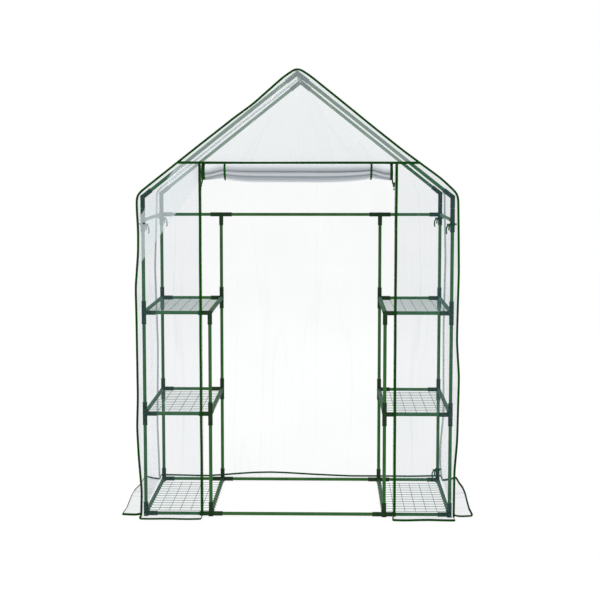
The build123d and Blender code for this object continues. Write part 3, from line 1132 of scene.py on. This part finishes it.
@dataclass
class Door:
    """The rolled door with its edge tapes, the film it hangs from, and the ribbons that tie it."""

    sizes: Sizes
    ties: tuple[float, float] = (-0.326, 0.335)
    folds: tuple[tuple[float, float, float], ...] = (
        (0.10, 0.08, 0.26), (-0.42, 0.07, 0.20), (0.62, 0.06, 0.05), (-0.74, 0.06, 0.06),
    )

    def __post_init__(self) -> None:
        """Work out the roll's centre, half sizes and ends."""
        low, high = np.array(self.sizes.roll_low), np.array(self.sizes.roll_high)
        self.centre = (low + high) / 2
        self.half = (high - low) / 2
        self.ends = {Side.LEFT: -0.4140, Side.RIGHT: 0.4180}
        self.top = self.sizes.header_z - 0.0045

    def swell(self, x: Array) -> Array:
        """How the roll's size changes along it.

        Between the ties it hangs full, as a cosine of the distance from the middle; at each tie it
        is drawn up and pinched, by a bell curve as well; towards its ends it opens again.

        Args:
            x: places along the roll.
        Returns:
            A size factor for each place.
        """
        bay = np.clip(np.abs(x) / self.ties[1], 0.0, 1.0)
        inner = 0.80 + 0.20 * np.cos(0.5 * math.pi * bay**2.4)
        past = np.clip((np.abs(x) - self.ties[1]) / 0.085, 0.0, 1.0)
        pinch = sum(np.exp(-(((x - t) / 0.016) ** 2)) for t in self.ties)
        return inner + 0.09 * past**1.5 - 0.02 * pinch + 0.006 * np.sin(17 * x)

    def roll(self) -> Array:
        """The roll's skin, round and round along X, hanging from its top.

        In section it is an ellipse with two deep folds on its front, pressed in by bell curves of
        the height, two shallow ones, and fine ripples along the layers. Each fold is given by its
        level, width and depth as shares of the half height. Past the ties the section turns, so
        the folds sink.

        Returns:
            A grid of points.
        """
        x = np.linspace(self.ends[Side.LEFT], self.ends[Side.RIGHT], 200)[:, None]
        turn = np.linspace(0.0, 2 * math.pi, 128, endpoint=False)[None]
        size = self.swell(x)
        twist = 0.38 * np.clip((np.abs(x) - self.ties[1]) / 0.06, 0.0, 1.0)
        y = np.cos(turn + twist)
        z = np.sin(turn + twist)
        groove = np.zeros_like(x * y)
        for at, wide, deep in self.folds:
            level = at + 0.02 * np.sin(6.0 * x + 3 * at)
            groove = groove + deep * np.exp(-(((np.sin(turn) - level) / wide) ** 2))
        full = 1.0 - groove * np.clip(-np.cos(turn) * 1.4, 0, 1)
        ripple = 0.006 * np.sin(17 * turn + 9 * x) + 0.005 * np.sin(31 * turn - 14 * x)
        py = self.centre[1] + self.half[1] * y * full * (0.5 + 0.5 * size) * (1 + ripple)
        pz = self.top - self.half[2] * size + self.half[2] * z * size * (1 + 0.5 * ripple)
        return np.stack([np.broadcast_to(x, py.shape), py, pz], axis=-1)

    def edge_stack(self, side: Side) -> list[Array]:
        """The door's edge tape and zip half, rolled up with it: a flat spiral of tape.

        The spiral's radius grows evenly with its angle, over four turns, stretched to the roll's
        oval. A pointed tail of tape hangs from its outer end.

        Args:
            side: left or right.
        Returns:
            Grids of the spiral and its tail.
        """
        turn = np.linspace(0.0, 4 * 2 * math.pi, 420)
        grow = 0.2 + 0.8 * turn / turn[-1]
        wide = 0.0168 if side is Side.LEFT else 0.0130
        x = self.ends[side] + side.value * (wide / 2 + 0.0004 * np.sin(3.1 * turn))
        angle = turn + math.pi / 2
        size = float(self.swell(np.array([self.ends[side]]))[0]) + 0.01
        high = self.half[2] * size
        y = self.centre[1] + (self.half[1] - 0.001) * grow * np.cos(angle)
        z = self.top - high + high * grow * np.sin(angle)
        spiral = carry(np.stack([x, y, z], axis=1), tape_section(wide, 0.0017, 4), [1, 0, 0])
        t = np.linspace(0.0, 1.0, 24)[:, None]
        start = np.array([x[-1], self.centre[1] - self.half[1] * 0.86, self.top - 1.2 * high])
        aim = np.array([side.value * 0.005, 0.012, -0.8 * high - 0.016])
        tail = start + t * aim
        section = tape_section(0.009, 0.0014, 4)[None] * np.stack([1.0 - 0.7 * t**3, np.ones_like(t)], axis=2)
        hanging = tail[:, None] + section[..., :1] * [1.0, 0.0, 0.0] + section[..., 1:] * [0.0, 1.0, 0.0]
        return [spiral, hanging]

    def sheet(self) -> Array:
        """The single film between the header and the roll's back."""
        high = self.sizes.header_z - 0.001
        z = np.linspace(high, self.centre[2], 60)[:, None]
        x = np.linspace(-self.half[0] - 0.006, self.half[0] + 0.006, 60)[None]
        y = -self.sizes.front_y - 0.0032 - 0.0006 * np.sin(14 * x)
        return np.stack(np.broadcast_arrays(x, y, z), axis=-1)

    def edge_strip(self, side: Side) -> Array:
        """The door's edge tape beside the film, from the header to the roll."""
        z = np.linspace(self.sizes.header_z - 0.001, self.centre[2], 60)
        x = np.full_like(z, side.value * (self.half[0] + 0.0035))
        path = np.stack([x, np.full_like(z, -self.sizes.front_y - 0.0034), z], axis=1)
        return carry(path, tape_section(0.012, 0.0014), [1, 0, 0])

    def tie(self, at: float) -> list[Array]:
        """A ribbon from the header round the roll, with two short tails underneath.

        Args:
            at: its place along X.
        Returns:
            Grids of the loop and the tails.
        """
        size = float(self.swell(np.array([at]))[0])
        high = self.half[2] * size
        deep = self.half[1] * (0.5 + 0.5 * size)
        turn = np.linspace(math.pi / 2, math.pi / 2 + 2 * math.pi, 120)
        y = self.centre[1] + (deep + 0.0007) * np.cos(turn)
        z = self.top - high + (high + 0.0006) * np.sin(turn)
        lean = math.copysign(0.003, at) * (turn - math.pi / 2) / math.pi
        loop = np.stack([at - np.minimum(np.abs(lean), 0.003) * math.copysign(1, at), y, z], axis=1)
        top = np.array([[at, -self.sizes.front_y - 0.0022, self.sizes.header_z + 0.0030]])
        over = np.array([[at, -self.sizes.front_y - 0.010, self.sizes.header_z - 0.0020]])
        strap = soften(np.concatenate([top, over, loop[:1]]), 0.003, 0.002)
        grids = [carry(strap, tape_section(0.009, 0.0009, 3), [1, 0, 0])]
        grids.append(carry(loop, tape_section(0.009, 0.0009, 3), [1, 0, 0]))
        for swing in (-1, 1):
            t = np.linspace(0.0, 1.0, 20)
            tail = np.stack(
                [
                    loop[60, 0] + swing * 0.0015 * t,
                    self.centre[1] - deep * 0.30 - 0.002 * swing * np.sin(2.2 * t),
                    self.top - 1.97 * high - 0.007 * t,
                ],
                axis=1,
            )
            grids.append(carry(tail, tape_section(0.006, 0.0008, 3), [1, 0.3 * swing, 0]))
        return grids

    def build(self) -> None:
        """Make the door's pieces."""
        skin = self.roll()
        girth = float(np.linalg.norm(np.diff(skin, axis=1, append=skin[:, :1]), axis=2).sum(axis=1).mean())
        finish = RolledFilm("rolled_film", girth=girth)
        roll = grid_piece("door_roll_film", skin, finish, wrap=True, caps=True)
        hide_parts("door_roll")
        stacks = [g for s in Side for g in self.edge_stack(s)]
        edges = joined_piece("door_roll_edges", stacks, TAPE)
        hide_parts("door_edge_bindings")
        for piece, slot in ((roll, "door_film"), (edges, "binding_tape")):
            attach(piece, ROLL_BODY)
            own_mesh(piece)
        film = grid_piece("door_film", self.sheet(), DOOR_FILM)
        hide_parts("door_sheet")
        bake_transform(film)
        strips = joined_piece("door_edge_tapes", [self.edge_strip(s) for s in Side], TAPE)
        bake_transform(strips)
        ties = joined_piece("door_tie_ribbons", [g for at in self.ties for g in self.tie(at)], RIBBON)
        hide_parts("door_ties")
        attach(ties, ROOT)
        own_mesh(ties)
        LOG.info("made the door")


@dataclass
class FrameTies:
    """Ribbons sewn inside the cover's corners and tied round the corner posts in a bow."""

    sizes: Sizes
    radius: float = 0.0117

    def bow(self, side: Side, end: End, low: float) -> list[Array]:
        """One corner's ribbon: two turns round the post, a knot, two loops and two tails.

        Args:
            side: left or right.
            end: front or back.
            low: height of the ribbon's first turn.
        Returns:
            Grids of its parts.
        """
        centre = np.array([side.value * self.sizes.post_x, end.value * self.sizes.post_y, 0.0])
        section = tape_section(0.007, 0.0009, 3)
        grids = []
        turn = np.linspace(0.0, 4.1 * math.pi, 90)
        rings = np.stack(
            [
                centre[0] + self.radius * np.cos(turn),
                centre[1] + self.radius * np.sin(turn),
                low + 0.007 * turn / turn[-1] + 0.001 * np.sin(turn),
            ],
            axis=1,
        )
        grids.append(carry(rings, section, [0, 0, 1]))
        inner = -side.value
        reach = self.sizes.wall_x - self.sizes.post_x - 0.0015
        link = centre + np.array([side.value, 0.0, 0.0]) * np.linspace(self.radius, reach, 12)[:, None]
        link = link + np.array([0.0, 0.0, low + 0.004])
        grids.append(carry(link, section, [0, 0, 1]))
        aim = unit(np.array([0.75 * inner, -0.65, 0.0]))
        across = np.array([-aim[1], aim[0], 0.0]) * inner
        knot = centre + aim * (self.radius + 0.0018) + np.array([0.0, 0.0, low + 0.003])
        spin = np.linspace(0.0, 2 * math.pi, 24)
        band = knot + np.outer(0.0032 * np.cos(spin), aim) + np.outer(0.0045 * np.sin(spin), [0, 0, 1])
        grids.append(carry(band, tape_section(0.0065, 0.0012, 3), across))
        t = np.linspace(0.0, 1.0, 40)
        for way, wide, drop in ((1.0, 0.013, 0.002), (-1.0, 0.010, -0.004)):
            bulge = np.sin(math.pi * t)
            loop = (
                knot
                + np.outer(wide * bulge, way * across + 0.3 * aim)
                + np.outer(0.0035 * np.sin(2 * math.pi * t), aim)
                + np.outer(0.004 * np.sin(2 * math.pi * t) - drop * bulge, [0, 0, 1])
            )
            grids.append(carry(loop, section, aim + 0.4 * across))
        for swing, length, lift in ((0.015, 0.043, 0.006), (0.003, 0.027, 0.0)):
            tail = (
                knot
                + np.outer(0.003 * t + swing * np.sin(0.66 * math.pi * t), [inner, 0.0, 0.0])
                + np.outer(0.002 * np.sin(3 * t), aim)
                + np.outer(lift * np.sin(math.pi * t) - length * t**1.25, [0, 0, 1])
            )
            flat = np.cross(unit(np.gradient(tail, axis=0)), [0.0, 1.0, 0.0])
            grids.append(carry(tail, tape_section(0.0068, 0.0009, 3), flat))
        return grids

    def build(self) -> None:
        """Tie all four corners."""
        high = self.sizes.eave_rail_z - 0.021
        grids = [g for s in Side for e in End for g in self.bow(s, e, high)]
        grids += self.bow(Side.RIGHT, End.BACK, 0.062)
        ties = joined_piece("corner_tie_ribbons", grids, RIBBON)
        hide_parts("frame_ties")
        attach(ties, ROOT)
        LOG.info("made %s", ties.name)


@dataclass
class HardParts:
    """The frame's own pieces, which keep their shape and get their finish."""

    nodes: dict

    def finish_of(self, name: str) -> Finish:
        """The finish that a node gets from its name."""
        if "shelf_left" in name or "shelf_right" in name:
            return WIRE
        if name.startswith("zip_"):
            return ZIP_PART
        if "connector" in name or name in ("cross_rail_tees", "eave_elbows"):
            return JOINT
        return TUBE

    def dress(self) -> None:
        """Give every carried-over node its finish."""
        for name, node in self.nodes.items():
            material = self.finish_of(name).material()
            node.data.materials.clear()
            node.data.materials.append(material)
            LOG.info("dressed %s", name)


# Studio -----------------------------------------------------------------------------------------


@dataclass
class StudioSet:
    """Camera, level pale floor, white backdrop, and soft lights."""

    eye: tuple[float, float, float] = (0.1446, -6.6851, 1.6451)
    look: tuple[float, float, float] = (-0.0208, 0.9948, -0.0997)
    lens: float = 83.4
    ambient: float = 0.55

    def camera(self) -> None:
        """Set the camera, level from side to side."""
        data = bpy.data.cameras.new("view")
        data.lens = self.lens
        data.sensor_width = 36.0
        eye = bpy.data.objects.new("view", data)
        bpy.context.scene.collection.objects.link(eye)
        forward = unit(np.array(self.look))
        right = unit(np.cross(forward, [0.0, 0.0, 1.0]))
        up = np.cross(right, forward)
        matrix = np.eye(4)
        matrix[:3, :3] = np.stack([right, up, -forward], axis=1)
        matrix[:3, 3] = self.eye
        eye.matrix_world = Matrix(matrix.tolist())
        bpy.context.scene.camera = eye

    def floor(self) -> None:
        """A sheet of floor, 30 m square and level, just under the object."""
        half = 15.0
        line = np.linspace(-half, half, 12)
        x, y = np.meshgrid(line, line, indexing="ij")
        grid = np.stack([x, y, np.full_like(x, -0.0005)], axis=-1)
        piece = grid_piece("floor", grid, FLOOR)

    def lamp(self, name: str, place: tuple, aim: tuple, size: float, power: float) -> None:
        """A soft square light.

        Args:
            name: its name.
            place: where it hangs.
            aim: the point it faces.
            size: length of its side.
            power: its strength in watts.
        """
        data = bpy.data.lights.new(name, "AREA")
        data.size = size
        data.energy = power
        lamp = bpy.data.objects.new(name, data)
        bpy.context.scene.collection.objects.link(lamp)
        back = unit(np.array(place) - np.array(aim))
        right = unit(np.cross([0.0, 0.0, 1.0], back))
        up = np.cross(back, right)
        matrix = np.eye(4)
        matrix[:3, :3] = np.stack([right, up, back], axis=1)
        matrix[:3, 3] = place
        lamp.matrix_world = Matrix(matrix.tolist())

    def backdrop(self) -> None:
        """A white backdrop that lights the object less than it shows."""
        world = bpy.data.worlds.new("studio")
        world.use_nodes = True
        tree = world.node_tree
        seen = tree.nodes.new("ShaderNodeLightPath")
        strength = tree.nodes.new("ShaderNodeMath")
        strength.operation = "MULTIPLY_ADD"
        strength.inputs[1].default_value = 1.0 - self.ambient
        strength.inputs[2].default_value = self.ambient
        tree.links.new(seen.outputs["Is Camera Ray"], strength.inputs[0])
        back = tree.nodes["Background"]
        back.inputs[0].default_value = (1.0, 1.0, 1.0, 1.0)
        tree.links.new(strength.outputs[0], back.inputs[1])
        bpy.context.scene.world = world

    def build(self) -> None:
        """Set up the studio."""
        self.camera()
        self.floor()
        self.backdrop()
        self.lamp("key", (-2.6, -5.6, 4.6), (0.0, 0.0, 1.0), 3.0, 170.0)
        self.lamp("fill", (3.6, -6.0, 2.6), (0.0, 0.0, 1.0), 3.0, 100.0)
        self.lamp("top", (0.0, 3.2, 5.5), (0.0, 0.0, 1.0), 4.0, 160.0)
        bpy.context.scene.view_settings.view_transform = "Standard"
        bpy.context.scene.cycles.transparent_max_bounces = 24


def main() -> None:
    """Build the greenhouse's looks in order."""
    logging.basicConfig(level=logging.INFO, format="%(name)s: %(message)s")
    sizes = Sizes.from_frame()
    StudioSet().build()
    HardParts(frame["nodes"]).dress()
    cover = Cover(sizes)
    cover.build()
    Trim(sizes, cover).build()
    Zips(sizes).build()
    Door(sizes).build()
    FrameTies(sizes).build()


if __name__ == "__main__":
    main()
